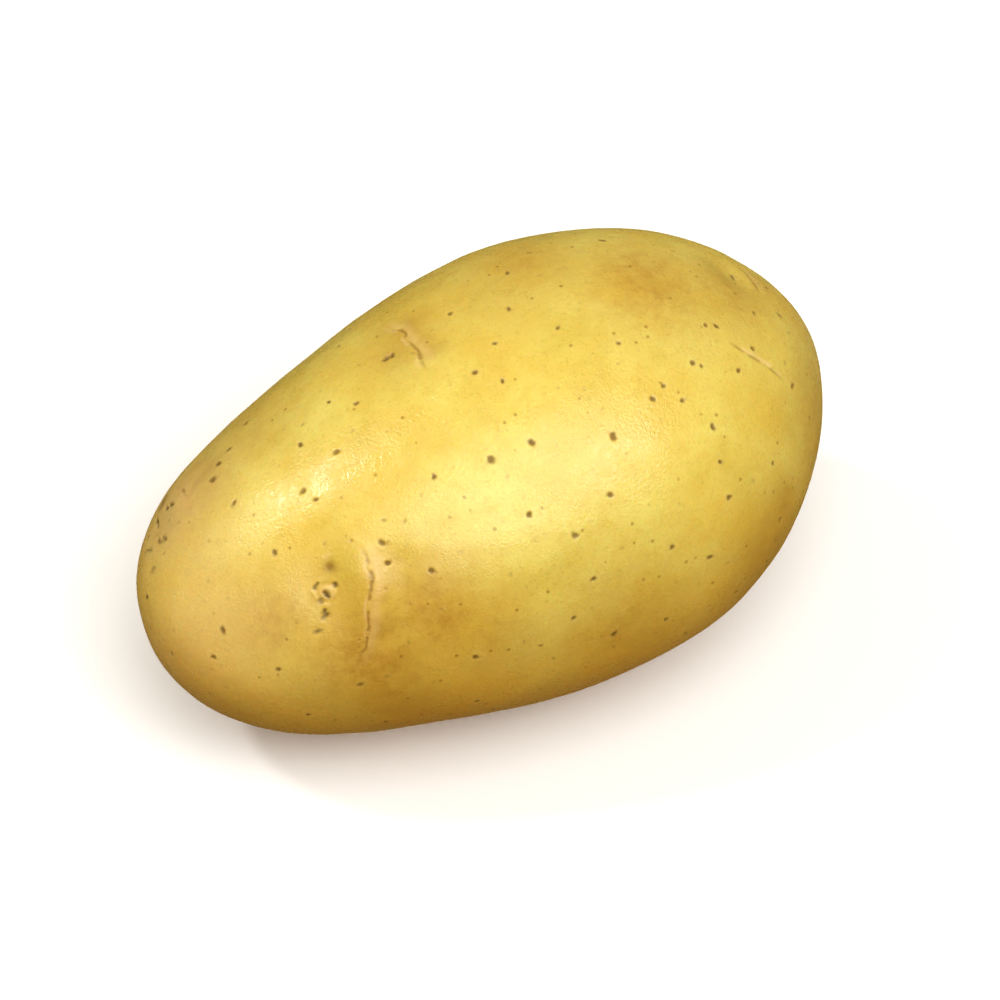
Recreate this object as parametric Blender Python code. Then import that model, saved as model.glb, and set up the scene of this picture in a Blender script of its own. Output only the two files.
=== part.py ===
"""A whole waxy yellow potato, lying on the small flat spot under its belly.

Metres, +Z up. X runs along the potato: the heel, which grew on the stolon, is at +X,
and the rose end, where the eyes crowd together, is at -X. The front is at -Y. The
origin is under the middle, on the surface that the potato rests on.

Places on the skin are given by two numbers. `along` runs from -1 at the rose end to
1 at the heel. `around` is an angle in degrees: 0 is the top, 90 the front, 180 the
underside and -90 the back.
"""

import math
from collections import namedtuple

import bmesh
import bpy
from mathutils import Matrix, Vector

MM = 0.001

# Driving dimensions of the smooth body
HALF_LENGTH = 46.0 * MM
HALF_WIDTH = 28.0 * MM
HALF_HEIGHT = 25.8 * MM
HEEL_FULLNESS = 0.217  # how far the widest girth sits towards the heel
END_BLUNTNESS = 0.028  # how much fuller than an egg's both ends are
HEEL_TAPER = 0.25  # how fast the heel closes; the rose end stays blunter by as much
BEND = 0.62 * MM  # how far both ends curve to the back
PITCH = 6.8  # degrees that the heel lifts when the potato lies at rest
FLAT_DEPTH = 0.75 * MM  # height that the flat spot takes off the round belly

# Fineness of the mesh
BALL_LEVEL = 5  # subdivisions of the ball that the body is mapped from
FINE_REACH = 1.5  # the mesh is twice as fine this many half widths round an eye
WELD = 0.05 * MM  # points closer than this at the flat spot's rim become one

# Broad rises and hollows of the body; a hollow has a height below nought
Swell = namedtuple("Swell", "along around height spread")
SWELLS = (
    Swell(0.40, -44, -0.35 * MM, 7 * MM),
    Swell(0.06, -52, 0.25 * MM, 8 * MM),
    Swell(-0.25, 75, 0.4 * MM, 13 * MM),
    Swell(-0.42, 124, -0.35 * MM, 10 * MM),
    Swell(0.42, 117, 0.45 * MM, 10 * MM),
    Swell(0.10, -98, 0.7 * MM, 13 * MM),
    Swell(-0.42, -150, -0.6 * MM, 11 * MM),
    Swell(0.62, -112, -0.7 * MM, 10 * MM),
)

# Eyes: a hollow of this half width and depth, with a brow on its heel side
Eye = namedtuple("Eye", "along around half_width depth brow")
EYES = (
    Eye(-0.590, 50, 5.0 * MM, 0.70 * MM, 0.55 * MM),
    Eye(-0.165, -14, 3.2 * MM, 0.30 * MM, 0.30 * MM),
    Eye(0.800, 0, 3.4 * MM, 0.75 * MM, 0.10 * MM),
    Eye(-0.870, -30, 3.8 * MM, 0.50 * MM, 0.35 * MM),
    Eye(-0.985, -125, 2.8 * MM, 0.45 * MM, 0.30 * MM),
    Eye(-0.890, 172, 3.2 * MM, 0.55 * MM, 0.40 * MM),
    Eye(-0.500, -104, 4.0 * MM, 0.80 * MM, 0.50 * MM),
    Eye(-0.300, 146, 3.6 * MM, 0.60 * MM, 0.45 * MM),
    Eye(0.080, -78, 4.0 * MM, 0.75 * MM, 0.55 * MM),
    Eye(0.330, -142, 3.6 * MM, 0.65 * MM, 0.45 * MM),
    Eye(0.560, 140, 3.4 * MM, 0.55 * MM, 0.40 * MM),
)
HOLLOW_LENGTHWISE = 0.75  # the hollow's size along the potato, in half widths
HOLLOW_SIDEWAYS = 1.15  # and around it
BROW_SET_BACK = 0.95  # from the eye's middle to the brow, in half widths
BROW_CURL = 0.30  # how far the brow's ends curl back towards the eye
BROW_THICKNESS = 0.34
BROW_REACH = 1.05
EYE_REACH = 3.0  # an eye changes nothing further out than this many half widths

# Scar of the stolon on the heel: a corky ring round a dimple
SCAR_ALONG = 0.992
SCAR_AROUND = -118
SCAR_RADIUS = 2.3 * MM
SCAR_RIM = 0.25 * MM
SCAR_RIM_WIDTH = 0.9 * MM
SCAR_DIMPLE = 0.5 * MM
SCAR_DIMPLE_SIZE = 0.6  # in scar radii

# Skin, as linear colour
SKIN_COLOUR = (0.70, 0.49, 0.10, 1.0)
SKIN_ROUGHNESS = 0.42

TINY = 1e-4  # step on the unit ball for measuring the skin's slope


def clear_scene():
    """Remove the objects that Blender starts with."""
    for old in list(bpy.data.objects):
        bpy.data.objects.remove(old, do_unlink=True)


def heading(along, around):
    """Direction on the unit ball that a place on the skin is mapped from."""
    rim = math.sqrt(1 - along * along)
    turn = math.radians(around)
    return Vector((along, -rim * math.sin(turn), rim * math.cos(turn)))


def body_point(way):
    """Point of the smooth body for a direction on the unit ball."""
    girth = 1 + HEEL_FULLNESS * way.x + END_BLUNTNESS * way.x**2 - HEEL_TAPER * way.x**3
    curve = BEND * (2 * way.x**2 - 1)
    return Vector((
        HALF_LENGTH * way.x,
        HALF_WIDTH * girth * way.y + curve,
        HALF_HEIGHT * girth * way.z,
    ))


def skin_axes(along, around):
    """Centre of a place on the skin, and the directions heelward and sideways along it."""
    way = heading(along, around)
    centre = body_point(way)
    first = way.orthogonal().normalized()
    second = way.cross(first)
    slope_one = body_point((way + first * TINY).normalized()) - centre
    slope_two = body_point((way + second * TINY).normalized()) - centre
    outward = slope_one.cross(slope_two).normalized()
    lengthwise = Vector((1, 0, 0))
    heelward = (lengthwise - outward * lengthwise.dot(outward)).normalized()
    return centre, heelward, outward.cross(heelward)


def bump(distance, spread):
    """Smooth hump, 1 in the middle and close to nought beyond twice its spread."""
    return math.exp(-((distance / spread) ** 2))


def swell_relief(point, swell, centre):
    """Height that a broad swell adds at a point."""
    return swell.height * bump((point - centre).length, swell.spread)


def eye_relief(point, eye, axes):
    """Height that an eye's hollow and brow add at a point."""
    centre, heelward, sideways = axes
    away = (point - centre) / eye.half_width
    if away.length > EYE_REACH:
        return 0.0
    forward = away.dot(heelward)
    aside = away.dot(sideways)
    hollow = bump(forward, HOLLOW_LENGTHWISE) * bump(aside, HOLLOW_SIDEWAYS)
    brow_line = BROW_SET_BACK - BROW_CURL * aside * aside
    brow = bump(forward - brow_line, BROW_THICKNESS) * bump(aside, BROW_REACH)
    return eye.brow * brow - eye.depth * hollow


def scar_relief(point, centre):
    """Height that the stolon scar adds at a point."""
    distance = (point - centre).length
    rim = SCAR_RIM * bump(distance - SCAR_RADIUS, SCAR_RIM_WIDTH)
    return rim - SCAR_DIMPLE * bump(distance, SCAR_RADIUS * SCAR_DIMPLE_SIZE)


def refine_round_eyes(mesh):
    """Halve the edges of the unit ball where the eyes will be."""
    ways = [heading(eye.along, eye.around) for eye in EYES]
    spots = [(body_point(way), eye.half_width * FINE_REACH) for way, eye in zip(ways, EYES)]
    fine = []
    for edge in mesh.edges:
        middle = body_point((edge.verts[0].co + edge.verts[1].co).normalized())
        if any((middle - spot).length < reach for spot, reach in spots):
            fine.append(edge)
    bmesh.ops.subdivide_edges(mesh, edges=fine, cuts=1, use_grid_fill=True)
    bmesh.ops.triangulate(mesh, faces=mesh.faces[:])
    for vert in mesh.verts:
        vert.co.normalize()


def shape_body(mesh):
    """Turn the unit ball into the potato with its swells, eyes and scar."""
    for vert in mesh.verts:
        vert.co = body_point(vert.co)
    mesh.normal_update()
    swells = [(swell, body_point(heading(swell.along, swell.around))) for swell in SWELLS]
    eyes = [(eye, skin_axes(eye.along, eye.around)) for eye in EYES]
    scar = body_point(heading(SCAR_ALONG, SCAR_AROUND))
    shaped = []
    for vert in mesh.verts:
        height = sum(swell_relief(vert.co, swell, centre) for swell, centre in swells)
        height += sum(eye_relief(vert.co, eye, axes) for eye, axes in eyes)
        height += scar_relief(vert.co, scar)
        shaped.append(vert.co + vert.normal * height)
    for vert, place in zip(mesh.verts, shaped):
        vert.co = place


def tip_to_rest(mesh):
    """Lift the heel, so that the belly's lowest point comes under the middle of the weight."""
    tip = Matrix.Rotation(math.radians(-PITCH), 3, "Y")
    bmesh.ops.rotate(mesh, verts=mesh.verts[:], cent=(0, 0, 0), matrix=tip)


def cut_flat_spot(mesh):
    """Slice the round belly off level and close the cut with one flat face."""
    base = min(vert.co.z for vert in mesh.verts) + FLAT_DEPTH
    everything = mesh.verts[:] + mesh.edges[:] + mesh.faces[:]
    cut = bmesh.ops.bisect_plane(
        mesh,
        geom=everything,
        plane_co=(0, 0, base),
        plane_no=(0, 0, -1),
        clear_outer=True,
    )
    rim = [piece for piece in cut["geom_cut"] if isinstance(piece, bmesh.types.BMEdge)]
    bmesh.ops.contextual_create(mesh, geom=rim)
    bmesh.ops.remove_doubles(mesh, verts=mesh.verts[:], dist=WELD)
    bmesh.ops.recalc_face_normals(mesh, faces=mesh.faces[:])


def set_down(mesh):
    """Put the origin under the middle, at the height of the flat spot."""
    xs = [vert.co.x for vert in mesh.verts]
    ys = [vert.co.y for vert in mesh.verts]
    zs = [vert.co.z for vert in mesh.verts]
    middle = Vector(((min(xs) + max(xs)) / 2, (min(ys) + max(ys)) / 2, min(zs)))
    bmesh.ops.translate(mesh, verts=mesh.verts[:], vec=-middle)


def skin_material():
    """Waxy yellow skin."""
    skin = bpy.data.materials.new("potato_skin")
    skin.use_nodes = True
    shader = skin.node_tree.nodes["Principled BSDF"]
    shader.inputs["Base Color"].default_value = SKIN_COLOUR
    shader.inputs["Roughness"].default_value = SKIN_ROUGHNESS
    shader.inputs["Metallic"].default_value = 0.0
    skin.diffuse_color = SKIN_COLOUR
    return skin


def make_potato():
    """Build the one solid: a potato is a single tuber with its skin."""
    mesh = bmesh.new()
    bmesh.ops.create_icosphere(mesh, subdivisions=BALL_LEVEL, radius=1.0)
    refine_round_eyes(mesh)
    shape_body(mesh)
    tip_to_rest(mesh)
    cut_flat_spot(mesh)
    set_down(mesh)
    data = bpy.data.meshes.new("potato")
    mesh.to_mesh(data)
    mesh.free()
    data.materials.append(skin_material())
    data.shade_smooth()
    potato = bpy.data.objects.new("potato", data)
    bpy.context.scene.collection.objects.link(potato)
    return potato


clear_scene()
make_potato()
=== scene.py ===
import math
import random

import bmesh
import bpy
import numpy as np
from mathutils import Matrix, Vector, noise
from mathutils.bvhtree import BVHTree
from mathutils.kdtree import KDTree


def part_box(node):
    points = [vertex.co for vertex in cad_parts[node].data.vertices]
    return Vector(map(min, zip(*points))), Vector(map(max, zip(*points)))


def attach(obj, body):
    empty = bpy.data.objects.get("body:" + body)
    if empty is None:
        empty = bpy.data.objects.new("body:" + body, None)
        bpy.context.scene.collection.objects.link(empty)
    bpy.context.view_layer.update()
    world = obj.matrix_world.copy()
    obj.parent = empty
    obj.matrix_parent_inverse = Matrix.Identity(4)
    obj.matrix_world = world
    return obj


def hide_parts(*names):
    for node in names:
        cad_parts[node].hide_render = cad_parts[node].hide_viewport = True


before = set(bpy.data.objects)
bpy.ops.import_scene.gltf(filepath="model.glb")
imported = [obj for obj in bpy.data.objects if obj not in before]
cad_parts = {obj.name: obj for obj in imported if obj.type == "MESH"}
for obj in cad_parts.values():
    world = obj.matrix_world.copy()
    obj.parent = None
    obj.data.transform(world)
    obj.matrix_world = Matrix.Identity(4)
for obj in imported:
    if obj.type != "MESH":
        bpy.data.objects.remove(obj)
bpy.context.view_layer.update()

mm = 0.001
lowCorner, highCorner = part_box("potato")
middle = (lowCorner + highCorner) / 2
halfSize = (highCorner - lowCorner) / 2

# A place on the skin is (along, around). along runs from -1 at the rose end to 1 at the heel,
# around is degrees from the top (0) towards the front (90), the underside (180) and the back (-90).


cameraView = {
    "azimuth": -28.5,  # degrees, to the left of the front
    "elevation": 47,
    "distance": 0.36,
    "lens": 104,
    "aim": (0.001, -0.001, -0.003),  # from the middle of the potato
}


def setCamera(view):
    turn, lift = math.radians(view["azimuth"]), math.radians(view["elevation"])
    back = Vector((math.sin(turn) * math.cos(lift), -math.cos(turn) * math.cos(lift), math.sin(lift)))
    data = bpy.data.cameras.new("camera")
    data.lens = view["lens"]
    data.clip_start = 0.01
    camera = bpy.data.objects.new("camera", data)
    camera.location = middle + Vector(view["aim"]) + back * view["distance"]
    camera.rotation_euler = back.to_track_quat("Z", "Y").to_euler()
    bpy.context.scene.collection.objects.link(camera)
    bpy.context.scene.camera = camera


studio = {
    "lamps": {
        "softbox": {"from": (-0.08, -0.52, 0.85), "power": 2.52, "spread": 55, "colour": (1.0, 0.99, 0.97)},
        "window": {"from": (-0.48, 0.33, 0.81), "power": 0.74, "spread": 8, "colour": (1.0, 0.99, 0.96)},
        "ceiling": {"from": (0.26, -0.60, 0.75), "power": 0.45, "spread": 20, "colour": (1.0, 0.99, 0.96)},
    },
    "roomLight": 0.41,
    "roomColour": (1.0, 0.91, 0.74),
    "lowColour": (0.68, 0.46, 0.17),  # warm brown that comes from the sides and below
    "horizon": (-0.1, 0.6),  # heights between which it turns to the room's colour, from -1 to 1
    "floorColour": (0.96, 0.965, 0.975),
    "floorSize": 4.0,
    "backdrop": 1.05,  # brightness behind the floor's edge
    "gamma": 0.9,  # under 1 deepens the shades
}


def addLamp(name, lamp):
    data = bpy.data.lights.new(name, "SUN")
    data.energy = lamp["power"]
    data.angle = math.radians(lamp["spread"])
    data.color = lamp["colour"]
    lampObject = bpy.data.objects.new(name, data)
    lampObject.rotation_euler = Vector(lamp["from"]).to_track_quat("Z", "Y").to_euler()
    bpy.context.scene.collection.objects.link(lampObject)


def plainMaterial(name, colour, glow=0.0):
    material = bpy.data.materials.new(name)
    material.use_nodes = True
    shader = material.node_tree.nodes["Principled BSDF"]
    shader.inputs["Base Color"].default_value = (*colour, 1)
    shader.inputs["Roughness"].default_value = 0.9
    shader.inputs["Specular IOR Level"].default_value = 0.0
    shader.inputs["Emission Color"].default_value = (1, 1, 1, 1)
    shader.inputs["Emission Strength"].default_value = glow
    return material


def addStage(name, build, material):
    mesh = bmesh.new()
    build(mesh)
    data = bpy.data.meshes.new(name)
    mesh.to_mesh(data)
    mesh.free()
    data.materials.append(material)
    stageObject = bpy.data.objects.new(name, data)
    bpy.context.scene.collection.objects.link(stageObject)
    return stageObject


def setStudio(room):
    for name, lamp in room["lamps"].items():
        addLamp(name, lamp)
    world = bpy.data.worlds.new("softRoom")
    bpy.context.scene.world = world
    world.use_nodes = True
    nodes, links = world.node_tree.nodes, world.node_tree.links
    split = nodes.new("ShaderNodeSeparateXYZ")
    rise = nodes.new("ShaderNodeMapRange")
    blend = nodes.new("ShaderNodeMix")
    blend.data_type = "RGBA"
    rise.inputs["From Min"].default_value, rise.inputs["From Max"].default_value = room["horizon"]
    blend.inputs[6].default_value = (*room["lowColour"], 1)
    blend.inputs[7].default_value = (*room["roomColour"], 1)
    links.new(nodes.new("ShaderNodeTexCoord").outputs["Generated"], split.inputs[0])
    links.new(split.outputs["Z"], rise.inputs["Value"])
    links.new(rise.outputs["Result"], blend.inputs[0])
    links.new(blend.outputs[2], nodes["Background"].inputs["Color"])
    nodes["Background"].inputs["Strength"].default_value = room["roomLight"]
    size = room["floorSize"]
    floor = addStage(
        "floor",
        lambda mesh: bmesh.ops.create_circle(mesh, cap_ends=True, segments=64, radius=size),
        plainMaterial("paleFloor", room["floorColour"]),
    )
    floor.visible_diffuse = False  # its bounce would wash out the shade on the potato's underside
    floor.visible_glossy = False
    backdrop = addStage(
        "backdrop",
        lambda mesh: bmesh.ops.create_icosphere(mesh, subdivisions=4, radius=size * 0.98),
        plainMaterial("whiteBackdrop", (0, 0, 0), room["backdrop"]),
    )
    backdrop.visible_diffuse = False  # seen only, so the room's soft light passes it
    backdrop.visible_glossy = False
    backdrop.visible_transmission = False
    backdrop.visible_shadow = False
    bpy.context.scene.view_settings.view_transform = "Standard"
    bpy.context.scene.view_settings.gamma = room["gamma"]


skinGrid = {
    "step": 0.6 * mm,  # side of one quad
    "evenPasses": 26,  # rounds of averaging that take out the facets
    "mapGap": 0.012,  # gap between the six parts of the texture map
}


def boxLattice(counts):
    # quads over the six sides of a box, with their corners shared, and each corner's place on its side
    numbers = {}
    quads, sides = [], []
    for axis in range(3):
        first, second = (axis + 1) % 3, (axis + 2) % 3
        for end in (0, counts[axis]):
            for i in range(counts[first]):
                for j in range(counts[second]):
                    corners = []
                    for di, dj in ((0, 0), (1, 0), (1, 1), (0, 1)):
                        key = [0, 0, 0]
                        key[axis], key[first], key[second] = end, i + di, j + dj
                        corners.append(numbers.setdefault(tuple(key), len(numbers)))
                    order = 1 if end else -1
                    quads.append(corners[::order])
                    sides.append((axis, end > 0, i, j, order))
    return np.array(list(numbers), float), quads, sides


def mapCorner(side, corner, counts):
    # six flat patches: top and underside, front and back, heel and rose end
    axis, far, i, j, order = side
    step = ((0, 0), (1, 0), (1, 1), (0, 1))[::order][corner]
    u, v = i + step[0], j + step[1]
    if axis == 1:
        u, v = v, u
    nx, ny, nz = counts
    total = max(2 * nx, ny + 2 * nz) * (1 + 4 * skinGrid["mapGap"])
    row = {2: 0, 1: ny, 0: ny + nz}[axis]
    gap = skinGrid["mapGap"] * total / 2
    column = (nx if axis else ny) if far else 0
    rowGap = gap * (1 + 2 * (2 - axis))
    return (u + column + gap * (3 if far else 1)) / total, (v + row + rowGap) / total


def neighbourMean(values, pairs, total):
    sums = np.zeros(len(values))
    np.add.at(sums, pairs[:, 0], values[pairs[:, 1]])
    np.add.at(sums, pairs[:, 1], values[pairs[:, 0]])
    return sums / total


def layGrid():
    # an even grid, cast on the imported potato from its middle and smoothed
    counts = [round(half * math.pi / 2 / skinGrid["step"]) for half in halfSize]
    lattice, quads, sides = boxLattice(counts)
    lattice = np.tan((lattice / np.array(counts) * 2 - 1) * math.pi / 4)
    lattice /= np.linalg.norm(lattice, axis=1)[:, None]
    rays = lattice * np.array(halfSize)
    rays /= np.linalg.norm(rays, axis=1)[:, None]
    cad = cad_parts["potato"].data
    tree = BVHTree.FromPolygons([v.co for v in cad.vertices], [p.vertices for p in cad.polygons])
    reach = np.array([tree.ray_cast(middle, Vector(ray))[3] for ray in rays])
    oval = 1 / np.linalg.norm(rays / np.array(halfSize), axis=1)
    onFlat = (reach * rays[:, 2] + middle.z) < 0.01 * mm
    pairs = np.array(sorted({tuple(sorted((q[k], q[k - 1]))) for q in quads for k in range(4)}))
    total = np.bincount(pairs.ravel(), minlength=len(reach))
    swell = reach / oval  # smoothed against an even oval, so that the box's edges leave no ridge
    for _ in range(skinGrid["evenPasses"]):
        swell = swell / 2 + neighbourMean(swell, pairs, total) / 2
    points = np.array(middle) + rays * (oval * swell)[:, None]
    points[onFlat, 2] = 0
    points[:, 2] = np.maximum(points[:, 2], 0)
    mesh = bmesh.new()
    verts = [mesh.verts.new(point) for point in points]
    uv = mesh.loops.layers.uv.new("OFBake")
    for quad, side in zip(quads, sides):
        face = mesh.faces.new([verts[k] for k in quad])
        for k, loop in enumerate(face.loops):
            loop[uv].uv = mapCorner(side, k, counts)
    mesh.normal_update()
    return mesh


def refine(mesh, spots):
    # halve the edges near each (point, radius)
    tree = KDTree(len(spots))
    widest = max(radius for _, radius in spots)
    for k, (point, _) in enumerate(spots):
        tree.insert(point, k)
    tree.balance()
    fine = []
    for edge in mesh.edges:
        centre = (edge.verts[0].co + edge.verts[1].co) / 2
        near = tree.find_range(centre, widest)
        if any(distance < spots[k][1] for _, k, distance in near):
            fine.append(edge)
    bmesh.ops.subdivide_edges(mesh, edges=fine, cuts=1, use_grid_fill=True)


def seat(tree, place, turn=0.0):
    # point, outward, and the two directions along the skin, the first heelward before it is turned
    along, around = place
    rim, angle = math.sqrt(1 - along * along), math.radians(around)
    across, upward = -rim * math.sin(angle), rim * math.cos(angle)
    ray = Vector((along * halfSize.x, across * halfSize.y, upward * halfSize.z))
    point, outward, _, _ = tree.ray_cast(middle, ray.normalized())
    heelward = (Vector((1, 0, 0)) - outward * outward.x).normalized()
    sideways = outward.cross(heelward)
    spin = math.radians(turn)
    first = heelward * math.cos(spin) + sideways * math.sin(spin)
    return {"point": point, "outward": outward, "first": first, "second": outward.cross(first)}


def flatten(skin, spot, reach):
    # the skin's points within reach of a seat, and their places in mm on its tangent plane
    offset = skin["points"] - np.array(spot["point"])
    near = np.nonzero((offset**2).sum(1) < reach**2)[0]
    u = offset[near] @ np.array(spot["first"]) / mm
    v = offset[near] @ np.array(spot["second"]) / mm
    return near, u, v


def bell(x, width):
    return np.exp(-((x / width) ** 2))


def ramp(x, low, high):
    t = np.clip((x - low) / (high - low), 0, 1)
    return t * t * (3 - 2 * t)


def paint(skin, name, near, amount):
    skin[name][near] = np.maximum(skin[name][near], amount)


def stroke(u, v, middleU, middleV, turn, halfLength, halfWidth):
    # soft short line on the tangent plane
    c, s = math.cos(math.radians(turn)), math.sin(math.radians(turn))
    along = (u - middleU) * c + (v - middleV) * s
    across = (v - middleV) * c - (u - middleU) * s
    return bell(across, halfWidth) * (1 - ramp(np.abs(along), halfLength * 0.5, halfLength * 1.2))


# Eyes, in mm. u runs heelward from the bud along the skin and v sideways. The brow is the thin fold on
# the heel side: u = back - curl * (v - apex)^2, over halfLength to either side of middle.
usualEye = {
    "hollow": (2.8, 0.28),  # half width and depth of the sunk place round the bud
    "bud": 0.9,  # half size of the little scaly cushion
    "scars": [(7, 0.0, 0.0, 1.2, 0.6, 80, 1.0)],  # count, u, v, half spreads, turn in degrees, size
    # strength of the brown round the eye, partly brown skin and partly painted shade in the hollow and
    # beyond the brow
    "tan": 0.6,
    "brow": {"back": 3.6, "curl": 0.05, "apex": 0.0, "middle": 0.0, "halfLength": 4.6},
    "fold": 0.15,  # height of the brow
    "crease": 0.12,
    "dip": 0.22,  # soft dip beyond the brow
    "spot": None,  # soft brown spot: u, v, half size
}

eyes = [
    {"name": "bigFront", "place": (-0.73, 55), "hollow": (3.8, 0.36), "bud": 1.3, "tan": 0.72,
     "scars": [(1, -0.9, -0.8, 0, 0, -57, 1.25), (2, -0.05, -0.2, 0.35, 0.1, -57, 1.2),
               (1, 1.3, 0.5, 0, 0, 60, 1.25), (2, -0.9, 1.0, 0.5, 0.1, 40, 0.8),
               (4, -0.9, -2.5, 0.5, 0.4, 60, 0.9), (3, -2.9, -3.7, 0.7, 0.3, -60, 0.7)],
     "brow": {"back": 5.3, "curl": 0.042, "apex": 1.5, "middle": -3.0, "halfLength": 7.0},
     "fold": 0.09, "crease": 0.10, "dip": 0.50, "spot": (1.4, 2.7, 0.66)},
    {"name": "topSmall", "place": (-0.26, -14), "hollow": (2.4, 0.10), "bud": 0.0, "tan": 0.8,
     "scars": [(3, 0.0, 0.0, 0.6, 0.3, 20, 1.2)],
     "brow": {"back": 2.6, "curl": 0.01, "apex": 0.0, "middle": 0.5, "halfLength": 6.4},
     "fold": 0.04, "crease": 0.13, "dip": 0.12},
    {"name": "heelDent", "place": (0.73, -2), "hollow": (3.2, 0.25), "bud": 0.6, "tan": 0.4,
     "scars": [(3, 0.0, 0.0, 0.8, 0.4, 70, 1.0)],
     "brow": {"back": 2.8, "curl": 0.05, "apex": 0.0, "middle": 0.0, "halfLength": 3.0},
     "fold": 0.08, "crease": 0.08, "dip": 0.1},
    {"name": "roseEnd", "place": (-0.93, -57), "hollow": (3.4, 0.16), "bud": 0.0, "tan": 0.8,
     "scars": [(4, 2.2, -0.3, 1.0, 0.25, -60, 0.9), (4, 0.0, 1.5, 0.9, 0.3, 70, 1.15),
               (5, -1.6, -1.8, 1.3, 0.4, -60, 1.05), (2, -5.6, -2.4, 0.5, 0.2, 0, 1.0),
               (3, -3.4, 0.6, 1.0, 0.3, -60, 0.9)],
     "brow": {"back": 4.6, "curl": 0.04, "apex": 0.0, "middle": 0.0, "halfLength": 3.6},
     "fold": 0.08, "crease": 0.06, "dip": 0.15, "spot": (2.4, 3.2, 0.9)},
    {"name": "roseTip", "place": (-0.92, -153), "spot": (1.0, -1.6, 0.5),
     "scars": [(6, 0.0, 0.0, 1.2, 0.8, 60, 1.0)]},
    {"name": "roseUnder", "place": (-0.78, 177), "scars": [(5, 0.0, 0.0, 1.0, 0.5, 95, 1.0)]},
    {"name": "backLeft", "place": (-0.50, -114), "hollow": (3.5, 0.36), "bud": 1.2, "tan": 0.7,
     "scars": [(7, 0.0, 0.0, 1.1, 0.7, 70, 1.0), (2, 0.2, 3.0, 0.5, 0.3, 90, 1.0),
               (2, -0.2, -3.2, 0.5, 0.3, 90, 1.0)],
     "brow": {"back": 4.2, "curl": 0.040, "apex": 0.5, "middle": 0.5, "halfLength": 5.6},
     "fold": 0.2, "dip": 0.35},
    {"name": "frontUnder", "place": (-0.25, 150), "scars": [(6, 0.0, 0.0, 1.1, 0.6, 85, 1.0)]},
    {"name": "backTop", "place": (0.07, -80), "hollow": (3.4, 0.32), "bud": 1.2, "tan": 0.7,
     "scars": [(8, 0.0, 0.0, 1.3, 0.7, 85, 1.0), (2, 0.3, 3.4, 0.5, 0.3, 90, 1.0)],
     "brow": {"back": 4.0, "curl": 0.045, "apex": -0.5, "middle": -0.5, "halfLength": 5.8},
     "fold": 0.2, "dip": 0.3, "spot": (1.0, 2.2, 0.5)},
    {"name": "backUnder", "place": (0.37, -141), "scars": [(6, 0.0, 0.0, 1.1, 0.6, 75, 1.0)]},
    {"name": "heelUnder", "place": (0.59, 138), "spot": (0.6, -2.4, 0.45),
     "scars": [(6, 0.0, 0.0, 1.0, 0.5, 95, 1.0)]},
]
eyes = [{**usualEye, **eye} for eye in eyes]


def browPoints(eye, spot):
    # points every mm along the brow, on the tangent plane of the bud
    brow = eye["brow"]
    halfLength = brow["halfLength"]
    points = []
    for v in np.arange(-halfLength, halfLength + 0.5) + brow["middle"]:
        u = brow["back"] - brow["curl"] * (v - brow["apex"]) ** 2
        points.append(spot["point"] + (spot["first"] * u + spot["second"] * v) * mm)
    return points


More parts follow.
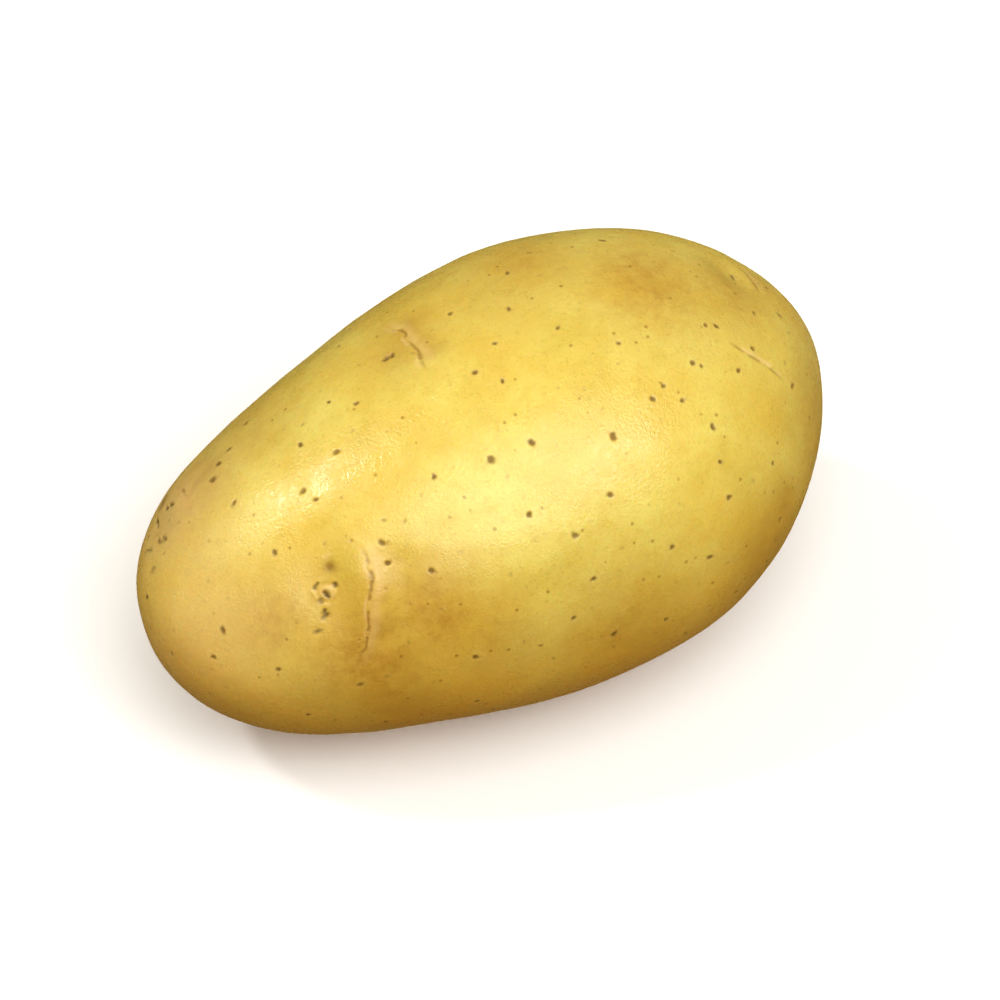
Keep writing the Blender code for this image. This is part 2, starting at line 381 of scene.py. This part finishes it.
def growEye(skin, eye, spot, draw):
    near, u, v = flatten(skin, spot, 16 * mm)
    out = np.zeros(len(near))
    distance = np.hypot(u, v)
    wobble = np.array([noise.noise(Vector(p) / (2.4 * mm)) for p in skin["points"][near]])
    drift = np.array([noise.noise(Vector(p) / (6 * mm) + Vector((5, 1, 8))) for p in skin["points"][near]])
    jag = np.array([noise.noise(Vector(p) / (0.8 * mm)) for p in skin["points"][near]])

    width, depth = eye["hollow"]
    out -= depth * bell(u, width * 0.8) * bell(v, width * 1.15)

    brow = eye["brow"]
    line = brow["back"] - brow["curl"] * (v - brow["apex"]) ** 2 + 0.7 * wobble + drift + 0.22 * jag
    beyond = u - line
    fromMiddle = np.abs(v - brow["middle"]) / brow["halfLength"]
    run = 1 - ramp(fromMiddle, 0.5, 1.1)
    dark = run * ramp(wobble + 0.6 * jag, -0.25, 0.15)  # the crease is broken into short runs
    out += eye["fold"] * run * bell(beyond + 1.1, 1.4)
    out -= eye["crease"] * dark * bell(beyond, 0.24)
    out -= eye["dip"] * run * bell(beyond - 3.4, 2.6)
    paint(skin, "pale", near, 0.38 * run * bell(beyond + 0.32, 0.22) * ramp(wobble, 0.3, -0.1))
    paint(skin, "pale", near, 0.24 * run * bell(beyond - 0.9, 0.8))
    paint(skin, "crease", near, 0.68 * dark * bell(beyond, 0.22))

    # brown round the bud, partly brown skin and partly painted shade in the hollow; painted shade in the
    # dip beyond the brow
    tan = bell(distance, width * 1.2) * 0.7 + 0.8 * run * bell(beyond - 2.2, 3.0)
    paint(skin, "tan", near, np.clip(eye["tan"] * tan * (1 + 0.7 * wobble), 0, 1))

    if eye["bud"]:
        cushion = bell(distance, eye["bud"])
        scales = 0.6 + 0.4 * np.sin(distance * 5 + 4 * wobble)
        out += 0.22 * cushion * scales
        paint(skin, "pale", near, 0.35 * cushion * scales)

    for count, middleU, middleV, spreadLong, spreadWide, turn, size in eye["scars"]:
        c, s = math.cos(math.radians(turn)), math.sin(math.radians(turn))
        for k in range(count):
            a = (2 * (k + draw.uniform(0.2, 0.8)) / count - 1) * spreadLong
            b = draw.gauss(0, 0.6) * spreadWide
            scarTurn = turn + draw.gauss(0, 25)
            sizes = draw.uniform(0.25, 0.48) * size, draw.uniform(0.17, 0.27) * size
            scar = stroke(u, v, middleU + a * c - b * s, middleV + a * s + b * c, scarTurn, *sizes)
            out -= 0.2 * scar
            paint(skin, "crack", near, draw.uniform(0.6, 1.0) * scar)
    if eye["spot"]:
        spotU, spotV, size = eye["spot"]
        out -= 0.12 * bell(np.hypot(u - spotU, v - spotV), size)
        paint(skin, "crease", near, 0.85 * bell(np.hypot(u - spotU, v - spotV), size))
        paint(skin, "pale", near, 0.5 * bell(np.hypot(u - spotU, (v - spotV - 2 * size) * 1.6), size * 0.8))

    skin["lift"][near] += out


stolonScar = {  # where the potato was joined to the plant, at the heel; sizes in mm
    "place": (0.984, -57),
    "halfSize": 1.7,
    "depth": 0.22,
    "rim": 0.15,
    "threads": 9,
}


def growStolonScar(skin, scar, spot, draw):
    near, u, v = flatten(skin, spot, 8 * mm)
    ragged = np.array([noise.noise(Vector(p) / (0.9 * mm)) for p in skin["points"][near]])
    distance = np.hypot(u, v) * (1 + 0.35 * ragged)
    inside = 1 - ramp(distance, scar["halfSize"] * 0.6, scar["halfSize"])
    skin["lift"][near] -= scar["depth"] * inside * (1 + 0.5 * ragged)
    skin["lift"][near] += scar["rim"] * bell(distance - scar["halfSize"] * 1.15, 0.35)
    paint(skin, "crease", near, 0.9 * inside)
    paint(skin, "tan", near, 0.8 * bell(distance, scar["halfSize"] * 2.2))
    for _ in range(scar["threads"]):
        angle, away = draw.uniform(0, 360), draw.uniform(0.1, 0.9) * scar["halfSize"]
        threadU, threadV = away * math.cos(math.radians(angle)), away * math.sin(math.radians(angle))
        thread = stroke(u, v, threadU, threadV, angle, 0.5, 0.14)
        skin["lift"][near] -= 0.15 * thread
        paint(skin, "crack", near, 0.8 * thread)


scratches = [  # fine marks from rubbing: from, to, strength
    ((0.555, 24), (0.685, 42), 0.75),
    ((0.30, -60), (0.42, -52), 0.45),
    ((-0.30, -72), (-0.22, -60), 0.4),
    ((0.62, 100), (0.70, 112), 0.5),
    ((-0.10, 118), (0.02, 110), 0.35),
]


def scratchSpot(tree, start, end):
    first, last = seat(tree, start)["point"], seat(tree, end)["point"]
    spot = seat(tree, ((start[0] + end[0]) / 2, (start[1] + end[1]) / 2))
    run = last - first
    spot["halfLength"] = run.length / 2
    spot["first"] = (run - spot["outward"] * run.dot(spot["outward"])).normalized()
    spot["second"] = spot["outward"].cross(spot["first"])
    return spot


def scratchSkin(skin, spot, strength):
    halfLength = spot["halfLength"] / mm
    near, u, v = flatten(skin, spot, (halfLength + 1.5) * mm)
    sway = v - 0.35 * np.sin(u / halfLength * 2.2) - 0.02 * u * u / halfLength
    run = 1 - ramp(np.abs(u), halfLength * 0.7, halfLength)
    broken = np.array([noise.noise(Vector(p) / (1.3 * mm)) for p in skin["points"][near]])
    dark = run * bell(sway, 0.17) * ramp(broken, -0.4, 0.1)
    skin["lift"][near] -= 0.06 * dark
    paint(skin, "crease", near, strength * 0.8 * dark)
    paint(skin, "pale", near, strength * 0.8 * run * bell(sway - 0.42, 0.26) * ramp(broken, 0.4, -0.1))


lenticels = {
    "chosen": [  # the clearest ones on the front: along, around, radius in mm
        (-0.17, 32, 0.52), (-0.05, 32, 0.42), (0.15, 38, 0.44), (0.09, 51, 0.34), (-0.13, 49, 0.40),
        (-0.03, 58, 0.44), (0.21, 70, 0.34), (-0.01, 71, 0.30), (0.03, 91, 0.36), (-0.08, 81, 0.28),
        (0.18, 93, 0.30), (-0.36, 87, 0.38), (-0.44, 56, 0.38), (-0.55, 50, 0.36), (-0.55, 43, 0.40),
        (-0.81, 31, 0.36), (-0.69, 13, 0.38), (-0.93, 67, 0.36), (-0.94, 90, 0.34), (-0.83, 88, 0.34),
        (-0.56, 7, 0.38), (-0.34, 30, 0.26), (-0.43, -5, 0.32), (-0.49, -13, 0.28), (-0.09, 8, 0.38),
        (0.00, 3, 0.28), (0.09, -5, 0.28), (0.16, 7, 0.28), (0.27, 17, 0.30), (-0.04, 14, 0.28),
        (0.28, 33, 0.38), (0.32, 31, 0.32), (0.35, 36, 0.36), (0.54, 34, 0.34), (0.51, 19, 0.34),
        (0.54, 20, 0.34), (0.40, 45, 0.36), (0.39, 54, 0.32), (0.39, 64, 0.36), (0.56, 63, 0.30),
        (0.42, 28, 0.40), (0.44, 29.5, 0.28), (0.31, 78, 0.32), (0.72, 45, 0.34), (0.62, 29, 0.30),
        (-0.835, -26, 0.50), (-0.80, -32, 0.44), (-0.76, -34, 0.38), (-0.68, -40, 0.40), (-0.67, 19, 0.24),
    ],
    "clear": 120,
    "clearRadius": (0.24, 0.40),
    "clearGap": 4.6,  # mm between neighbours
    "faint": 250,
    "faintRadius": (0.15, 0.26),
    "faintGap": 2.2,
    "pit": 0.12,  # mm deep
    "rim": 0.03,
    "frontShare": 0.25,  # of the clear ones that may fall among the chosen
}


def scatterLenticels(tree, draw):
    found = []

    def add(place, radius, depth, gap):
        spot = seat(tree, place, draw.uniform(0, 180))
        if any((spot["point"] - other["point"]).length < gap * mm for other in found):
            return 0
        spot.update(radius=radius, depth=depth, stretch=draw.uniform(1.0, 1.6))
        found.append(spot)
        return 1

    def anyPlace():
        way = Vector((draw.gauss(0, 1), draw.gauss(0, 1), draw.gauss(0, 1))).normalized()
        return way.x, math.degrees(math.atan2(-way.y, way.z))

    for along, around, radius in lenticels["chosen"]:
        add((along, around), radius, draw.uniform(0.85, 1.0), 0)
    made = 0
    while made < lenticels["clear"]:
        place = anyPlace()
        onFront = -10 < place[1] < 95
        if onFront and draw.random() > lenticels["frontShare"]:
            continue
        radius = draw.uniform(*lenticels["clearRadius"])
        made += add(place, radius, draw.uniform(0.5, 1.0), lenticels["clearGap"])
    made = 0
    while made < lenticels["faint"]:
        radius = draw.uniform(*lenticels["faintRadius"])
        made += add(anyPlace(), radius, draw.uniform(0.2, 0.5), lenticels["faintGap"])
    return found


def pitLenticel(skin, spot):
    near, u, v = flatten(skin, spot, 4.5 * spot["radius"] * mm)
    radius = spot["radius"]
    ragged = np.array([noise.noise(Vector(p) / (0.45 * mm)) for p in skin["points"][near]])
    away = np.hypot(u / spot["stretch"], v) / radius * (1 + 0.4 * ragged)
    skin["lift"][near] -= lenticels["pit"] * spot["depth"] * bell(away, 0.7)
    skin["lift"][near] += lenticels["rim"] * spot["depth"] * bell(away - 1.4, 0.5)
    paint(skin, "lenticel", near, spot["depth"] * (1 - ramp(away, 0.45, 1.25)))
    paint(skin, "halo", near, spot["depth"] * bell(away, 1.7))


roundness = {  # unevenness of the grown body: size of the waves and their height, both in mm
    "waves": [(16, 0.30), (7, 0.10), (2.6, 0.028)],
    "seed": 7,
}

tanAndShadePatches = [  # soft browner places, partly brown skin and partly painted shade: place, half size in mm, strength
    # below the big eye: brown skin and painted shade
    ((-0.84, 62), 6, 0.80),
    ((-0.64, 82), 9, 0.95),
    ((-0.46, 69), 7, 0.90),
    ((-0.32, 80), 7, 0.65),
    ((-0.58, 100), 8, 0.70),
    # painted shade on the lower front
    ((0.05, 88), 10, 0.50),
    ((0.52, 92), 8, 0.70),
    ((0.585, 79), 4, 0.70),
    # painted shade along the top towards the heel
    ((0.44, 2), 10, 0.85),
    ((0.64, 8), 8, 0.75),
    ((0.22, -16), 10, 0.60),
    # painted shade on the top of the rose end
    ((-0.86, -35), 7, 0.80),
    ((-0.70, -28), 7, 0.50),
    ((-0.20, -15), 5, 0.65),
    ((0.80, 60), 8, 0.60),
    ((0.90, -60), 9, 0.50),
    ((0.85, 150), 9, 0.55),
    ((-0.60, -170), 9, 0.45),
    ((0.30, -110), 10, 0.45),
    ((-0.20, -125), 8, 0.35),
    ((0.10, 165), 12, 0.40),
]

palePatches = [  # thinner, pinkish skin at the ends
    ((-0.96, 62), 9, 0.32),
    ((-0.94, 15), 7, 0.28),
    ((-0.92, -45), 8, 0.38),
    ((0.97, 30), 8, 0.22),
    ((-0.95, 170), 8, 0.25),
]


def readPoints(mesh):
    mesh.normal_update()
    points = np.array([v.co for v in mesh.verts])
    normals = np.array([v.normal for v in mesh.verts])
    skin = {"points": points, "normals": normals}
    for name in ("lift", "tan", "pale", "crease", "crack", "lenticel", "halo"):
        skin[name] = np.zeros(len(points))
    return skin


def unevenBody(skin):
    shift = Vector((3.1, 1.7, 9.2)) * roundness["seed"]
    for size, height in roundness["waves"]:
        waves = [noise.noise(Vector(p) / (size * mm) + shift) for p in skin["points"]]
        skin["lift"] += height * np.array(waves)


growth = {
    "seed": 41,
    "eyeFine": (4.0, 2.2),  # mm round an eye in which the grid is halved, and halved again
    "browFine": 1.5,
    "scratchFine": 1.3,
    "flatFade": 1.5,  # mm above the floor over which the relief fades out
}


def makePotato():
    draw = random.Random(growth["seed"])
    mesh = layGrid()
    tree = BVHTree.FromBMesh(mesh)
    eyeSpots = [seat(tree, eye["place"]) for eye in eyes]
    dots = scatterLenticels(tree, draw)
    scarSpot = seat(tree, stolonScar["place"])
    scratchSpots = [scratchSpot(tree, start, end) for start, end, _ in scratches]
    brows = [point for eye, spot in zip(eyes, eyeSpots) for point in browPoints(eye, spot)]
    lines = [(point, growth["browFine"] * mm) for point in brows]
    for spot in scratchSpots:
        for t in np.arange(-1, 1.1, 0.2):
            point = spot["point"] + spot["first"] * spot["halfLength"] * float(t)
            lines.append((point, growth["scratchFine"] * mm))
    fine, finer = growth["eyeFine"]
    refine(mesh, [(spot["point"], fine * mm) for spot in eyeSpots + [scarSpot]] + lines)
    refine(mesh, [(dot["point"], (dot["radius"] * 1.6 + 0.3) * mm) for dot in dots])
    tight = [(dot["point"], dot["radius"] * 1.5 * mm) for dot in dots if dot["depth"] > 0.5]
    tight += [(spot["point"], finer * mm) for spot in eyeSpots + [scarSpot]]
    tight += [(point, radius * 0.7) for point, radius in lines]
    refine(mesh, tight)
    print("skin grid:", len(mesh.faces), "faces")

    skin = readPoints(mesh)
    unevenBody(skin)
    for eye, spot in zip(eyes, eyeSpots):
        growEye(skin, eye, spot, draw)
    growStolonScar(skin, stolonScar, scarSpot, draw)
    for (_, _, strength), spot in zip(scratches, scratchSpots):
        scratchSkin(skin, spot, strength)
    for dot in dots:
        pitLenticel(skin, dot)
    for name, patches in (("tan", tanAndShadePatches), ("pale", palePatches)):
        for place, size, strength in patches:
            near, u, v = flatten(skin, seat(tree, place), size * 2 * mm)
            paint(skin, name, near, strength * bell(np.hypot(u, v), size))
    lift = skin["lift"] * ramp(skin["points"][:, 2], 0, growth["flatFade"] * mm) * mm
    places = skin["points"] + skin["normals"] * lift[:, None]
    places[:, 2] = np.maximum(places[:, 2], 0)
    for vert, place in zip(mesh.verts, places):
        vert.co = place

    data = bpy.data.meshes.new("potatoSkin")
    mesh.to_mesh(data)
    mesh.free()
    data.shade_smooth()
    for name in ("tan", "pale", "crease", "crack", "lenticel", "halo"):
        data.attributes.new(name, "FLOAT", "POINT").data.foreach_set("value", skin[name].astype(np.float32))
    potato = bpy.data.objects.new("potatoSkin", data)
    bpy.context.scene.collection.objects.link(potato)
    data.materials.append(skinMaterial(skinFinish))
    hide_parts("potato")
    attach(potato, "root")
    print("potato:", len(dots), "lenticels,", len(eyes), "eyes")
    return potato


skinFinish = {
    "yellow": (0.745, 0.64, 0.16),
    "deepYellow": (0.72, 0.54, 0.10),
    "olive": (0.60, 0.47, 0.075),
    # brown of the skin round eyes and scars, also used as painted shade below the big eye, on the top and
    # low on the front
    "tan": (0.45, 0.245, 0.026),
    "paintedLowShade": (0.74, 0.39, 0.027),  # painted shade: warmer and darker low on the sides, where the shade falls
    "paintedLowShadeHeight": (0.040, 0.008),  # m above the floor where the painted shade starts and is full
    "pale": (0.86, 0.62, 0.33),
    "crease": (0.26, 0.13, 0.02),
    "lenticel": (0.19, 0.098, 0.003),
    "crack": (0.105, 0.048, 0.003),
    "mottle": (0.64, 0.45, 0.065),
    "speckle": (0.62, 0.52, 0.36),
    "roughness": (0.20, 0.36),
    "markRoughness": 0.40,  # how much duller the marks are
    "softness": 0.3,  # how much light passes through the skin
    "softReach": (1.0, 0.55, 0.2),
    "softDepth": 2.5 * mm,
    "waxIor": 1.52,
    "wrinkle": 0.065 * mm,
    "wrinkleStrength": 0.5,
}


def skinMaterial(finish):
    material = bpy.data.materials.new("waxyPotatoSkin")
    material.use_nodes = True
    tree = material.node_tree
    shader = tree.nodes["Principled BSDF"]
    place = tree.nodes.new("ShaderNodeTexCoord").outputs["Object"]

    def wire(source, socket):
        if isinstance(source, bpy.types.NodeSocket):
            tree.links.new(source, socket)
        else:
            socket.default_value = source

    # sizes in mm
    def noiseAt(size, detail=2.0, rough=0.5, twist=0.0, at=place):
        node = tree.nodes.new("ShaderNodeTexNoise")
        wire(at, node.inputs["Vector"])
        node.inputs["Scale"].default_value = 1 / (size * mm)
        node.inputs["Detail"].default_value = detail
        node.inputs["Roughness"].default_value = rough
        node.inputs["Distortion"].default_value = twist
        return node.outputs["Fac"]

    def spread(value, low, high, start=0.0, end=1.0):
        node = tree.nodes.new("ShaderNodeMapRange")
        node.interpolation_type = "SMOOTHSTEP"
        wire(value, node.inputs["Value"])
        for name, number in zip(("From Min", "From Max", "To Min", "To Max"), (low, high, start, end)):
            node.inputs[name].default_value = number
        return node.outputs["Result"]

    def calc(operation, *terms):
        node = tree.nodes.new("ShaderNodeMath")
        node.operation = operation
        for term, socket in zip(terms, node.inputs):
            wire(term, socket)
        return node.outputs[0]

    def tint(under, over, amount, mode="MIX"):
        node = tree.nodes.new("ShaderNodeMix")
        node.data_type = "RGBA"
        node.blend_type = mode
        wire(amount, node.inputs[0])
        wire((*under, 1) if isinstance(under, tuple) else under, node.inputs[6])
        wire((*over, 1) if isinstance(over, tuple) else over, node.inputs[7])
        return node.outputs[2]

    def mark(name):
        node = tree.nodes.new("ShaderNodeAttribute")
        node.attribute_name = name
        return node.outputs["Fac"]

    def cells(size, feature, at=place):
        node = tree.nodes.new("ShaderNodeTexVoronoi")
        node.feature = feature
        wire(at, node.inputs["Vector"])
        node.inputs["Scale"].default_value = 1 / (size * mm)
        return node

    height = tree.nodes.new("ShaderNodeSeparateXYZ")
    wire(place, height.inputs[0])

    # broad patches first, then the fine grain, then the painted marks
    colour = tint(finish["yellow"], finish["deepYellow"], spread(noiseAt(14), 0.35, 0.7))
    colour = tint(colour, finish["olive"], spread(noiseAt(9, 3, 0.6), 0.52, 0.75, 0, 0.5))
    # painted shade: the skin turns a warmer, darker orange low on the sides
    low = spread(height.outputs["Z"], *finish["paintedLowShadeHeight"])
    colour = tint(colour, finish["paintedLowShade"], calc("MULTIPLY", low, spread(noiseAt(11), 0.2, 0.7, 0.65, 1.0)))
    # brown skin and painted shade, from the tan marks
    tanAndShade = calc("MULTIPLY", mark("tan"), spread(noiseAt(1.6, 4, 0.65), 0.3, 0.7, 0.65, 1.0))
    colour = tint(colour, finish["tan"], tanAndShade)
    colour = tint(colour, finish["mottle"], spread(noiseAt(2.8, 5, 0.65), 0.4, 0.7, 0, 0.35))
    grain = spread(noiseAt(0.45, 3, 0.6), 0.5, 0.8, 0, 0.35)
    colour = tint(colour, finish["speckle"], grain, "MULTIPLY")

    dots = cells(1.9, "F1")
    dotColour = tree.nodes.new("ShaderNodeSeparateColor")
    wire(dots.outputs["Color"], dotColour.inputs[0])
    chosen = spread(dotColour.outputs[0], 0.55, 0.75)
    dotted = calc("MULTIPLY", spread(dots.outputs["Distance"], 0.16, 0.07), chosen)
    colour = tint(colour, finish["speckle"], calc("MULTIPLY", dotted, 0.9), "MULTIPLY")

    colour = tint(colour, finish["pale"], calc("MULTIPLY", mark("halo"), 0.10))
    colour = tint(colour, finish["pale"], mark("pale"))
    colour = tint(colour, finish["crease"], mark("crease"))
    colour = tint(colour, finish["lenticel"], calc("MULTIPLY", mark("lenticel"), 0.92))
    colour = tint(colour, finish["crack"], mark("crack"))
    wire(colour, shader.inputs["Base Color"])

    smooth, dull = finish["roughness"]
    gloss = spread(noiseAt(2.4, 4, 0.65), 0.3, 0.7, smooth, dull)
    marks = calc("MAXIMUM", mark("lenticel"), mark("crack"))
    marks = calc("MAXIMUM", marks, calc("MULTIPLY", mark("tan"), 0.3))
    gloss = calc("ADD", gloss, calc("MULTIPLY", marks, finish["markRoughness"]))
    wire(gloss, shader.inputs["Roughness"])

    # a net of fine wrinkles, bent so that its cells aren't straight
    warp = tree.nodes.new("ShaderNodeVectorMath")
    warp.operation = "MULTIPLY_ADD"
    bend = tree.nodes.new("ShaderNodeTexNoise")
    bend.inputs["Scale"].default_value = 1 / (1.5 * mm)
    wire(place, bend.inputs["Vector"])
    wire(bend.outputs["Color"], warp.inputs[0])
    warp.inputs[1].default_value = (0.9 * mm,) * 3
    wire(place, warp.inputs[2])
    net = cells(0.6, "DISTANCE_TO_EDGE", warp.outputs[0])
    wrinkled = spread(noiseAt(3.0), 0.35, 0.65, 0.05, 0.45)
    wrinkles = calc("MULTIPLY", spread(net.outputs["Distance"], 0.0, 0.3), wrinkled)
    relief = calc("ADD", wrinkles, calc("MULTIPLY", noiseAt(0.55, 4, 0.6, 0.6), 1.1))
    bumpNode = tree.nodes.new("ShaderNodeBump")
    bumpNode.inputs["Strength"].default_value = finish["wrinkleStrength"]
    bumpNode.inputs["Distance"].default_value = finish["wrinkle"]
    wire(relief, bumpNode.inputs["Height"])
    wire(bumpNode.outputs["Normal"], shader.inputs["Normal"])

    shader.inputs["Subsurface Weight"].default_value = finish["softness"]
    shader.inputs["Subsurface Radius"].default_value = finish["softReach"]
    shader.inputs["Subsurface Scale"].default_value = finish["softDepth"]
    shader.inputs["IOR"].default_value = finish["waxIor"]
    return material


setCamera(cameraView)
setStudio(studio)
print("camera, light and floor set")
makePotato()
